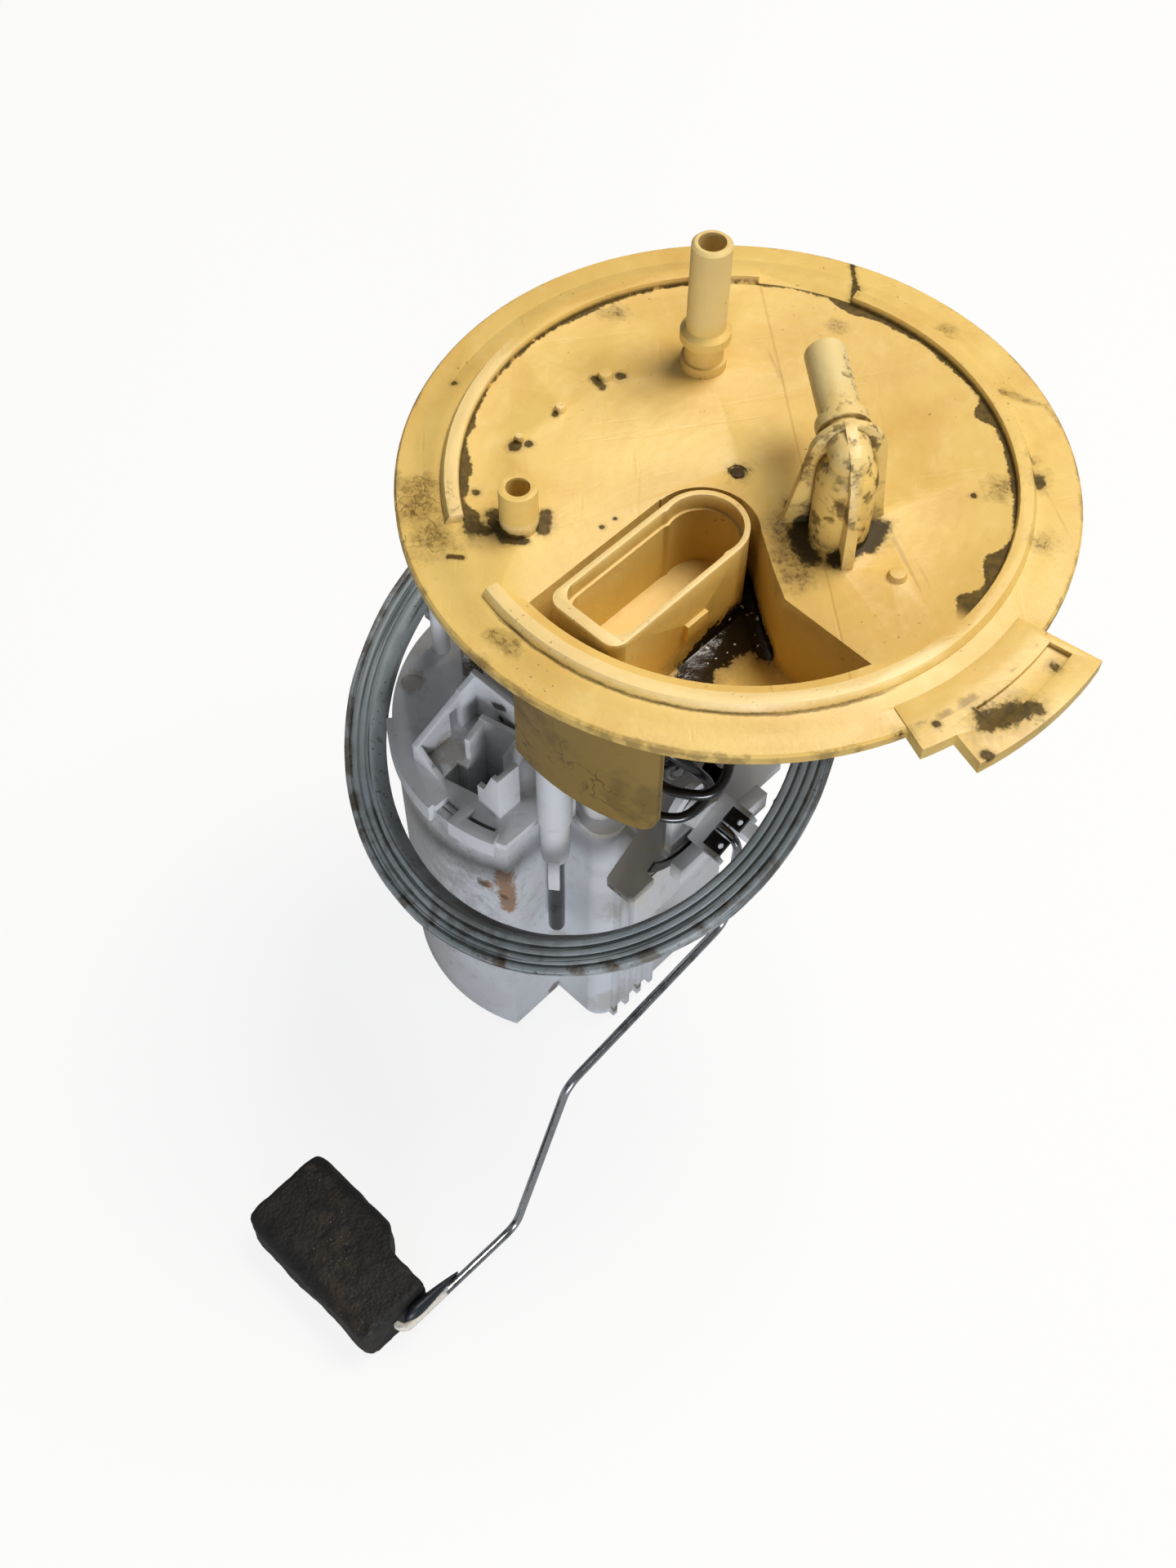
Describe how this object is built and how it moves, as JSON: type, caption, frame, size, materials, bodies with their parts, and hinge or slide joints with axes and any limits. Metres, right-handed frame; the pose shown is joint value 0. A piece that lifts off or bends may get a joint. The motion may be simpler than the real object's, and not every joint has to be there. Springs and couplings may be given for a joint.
{
  "type": "fuel pump",
  "caption": "In-tank fuel delivery module: round tank flange with two spigots and a connector, sprung guide rods, reservoir pot with an electric pump, seal ring and float level sender.",
  "frame": {"origin": "centre of the tank flange's round locating collar, in the plane of the flange's seating underside", "axes": "+Z along the flange's axis, out of the tank; the connector's long side and the float arm's plane lie along Y with the float towards -Y; the flange's lug points to +X"},
  "size_m": [0.1559, 0.204, 0.208],
  "materials": {
    "acetal_yellow": "aged and oily",
    "terminal_plate": "tin plated, dull",
    "rod_steel": "ground",
    "spring_steel": "drawn wire",
    "seal_rubber": "dusty",
    "pom_white": "stained",
    "pom_lid": "stained",
    "isolator_rubber": "satin",
    "can_steel": "zinc plated",
    "cast_alloy": "die cast",
    "phenolic": "moulded",
    "ferrite": "sintered",
    "copper_wound": "varnished winding and laminations",
    "copper_bar": "turned",
    "carbon": "carbon",
    "cap_black": "satin",
    "poppet_tan": "moulded",
    "strainer_mesh": "woven nylon",
    "valve_rubber": "moulded",
    "jet_white": "moulded",
    "hose_amber": "corrugated",
    "plug_black": "moulded",
    "lead_black": "insulated wire",
    "card_ceramic": "printed",
    "contact_black": "moulded",
    "arm_steel": "drawn wire",
    "clip_blue": "moulded",
    "float_foam": "closed-cell foam"
  },
  "bodies": {
    "flange": {"flange_cover": "acetal_yellow", "connector_terminals": "terminal_plate", "guide_rod_front": "rod_steel", "guide_rod_rear": "rod_steel", "spring_front": "spring_steel", "spring_rear": "spring_steel", "feed_hose": "hose_amber", "return_hose": "hose_amber", "flange_plug": "plug_black", "pump_leads": "lead_black", "level_leads": "lead_black"},
    "reservoir": {"seal_ring": "seal_rubber", "reservoir_pot": "pom_white", "holder_lid": "pom_lid", "pump_rubber": "isolator_rubber", "pump_can": "can_steel", "pump_inlet_cover": "cast_alloy", "pump_chamber": "cast_alloy", "motor_magnets": "ferrite", "motor_brushes": "carbon", "pump_outlet_cap": "cap_black", "check_spring": "spring_steel", "pump_strainer": "strainer_mesh", "foot_valve": "valve_rubber", "jet_nozzle": "jet_white", "sender_frame": "pom_lid", "resistor_card": "card_ceramic", "sender_terminals": "terminal_plate"},
    "rotor": {"impeller": "phenolic", "motor_shaft": "rod_steel", "armature": "copper_wound", "commutator": "copper_bar"},
    "poppet": {"check_poppet": "poppet_tan"},
    "arm": {"arm_hub": "pom_lid", "wiper": "contact_black", "float_arm": "arm_steel", "float_clip": "clip_blue", "float_block": "float_foam"}
  },
  "joints": [
    {"name": "reservoir_slide", "type": "slide", "parent": "flange", "child": "reservoir", "axis": [0, 0, 1], "range_m": [0, 0.028], "stiffness_N_per_m": 600, "springref_m": -0.04, "deforming": ["spring_front", "spring_rear", "feed_hose", "return_hose", "pump_leads", "level_leads"]},
    {"name": "arm_hinge", "type": "hinge", "parent": "reservoir", "child": "arm", "pos_m": [0.016, -0.0227, -0.0722], "axis": [-1, 0, 0], "range_deg": [0, 50]},
    {"name": "rotor_spin", "type": "hinge", "parent": "reservoir", "child": "rotor", "pos_m": [-0.023, -0.006, -0.13], "axis": [0, 0, 1], "continuous": true},
    {"name": "poppet_lift", "type": "slide", "parent": "reservoir", "child": "poppet", "axis": [0, 0, 1], "range_m": [0, 0.0015], "stiffness_N_per_m": 100, "springref_m": -0.002, "deforming": ["check_spring"]}
  ]
}
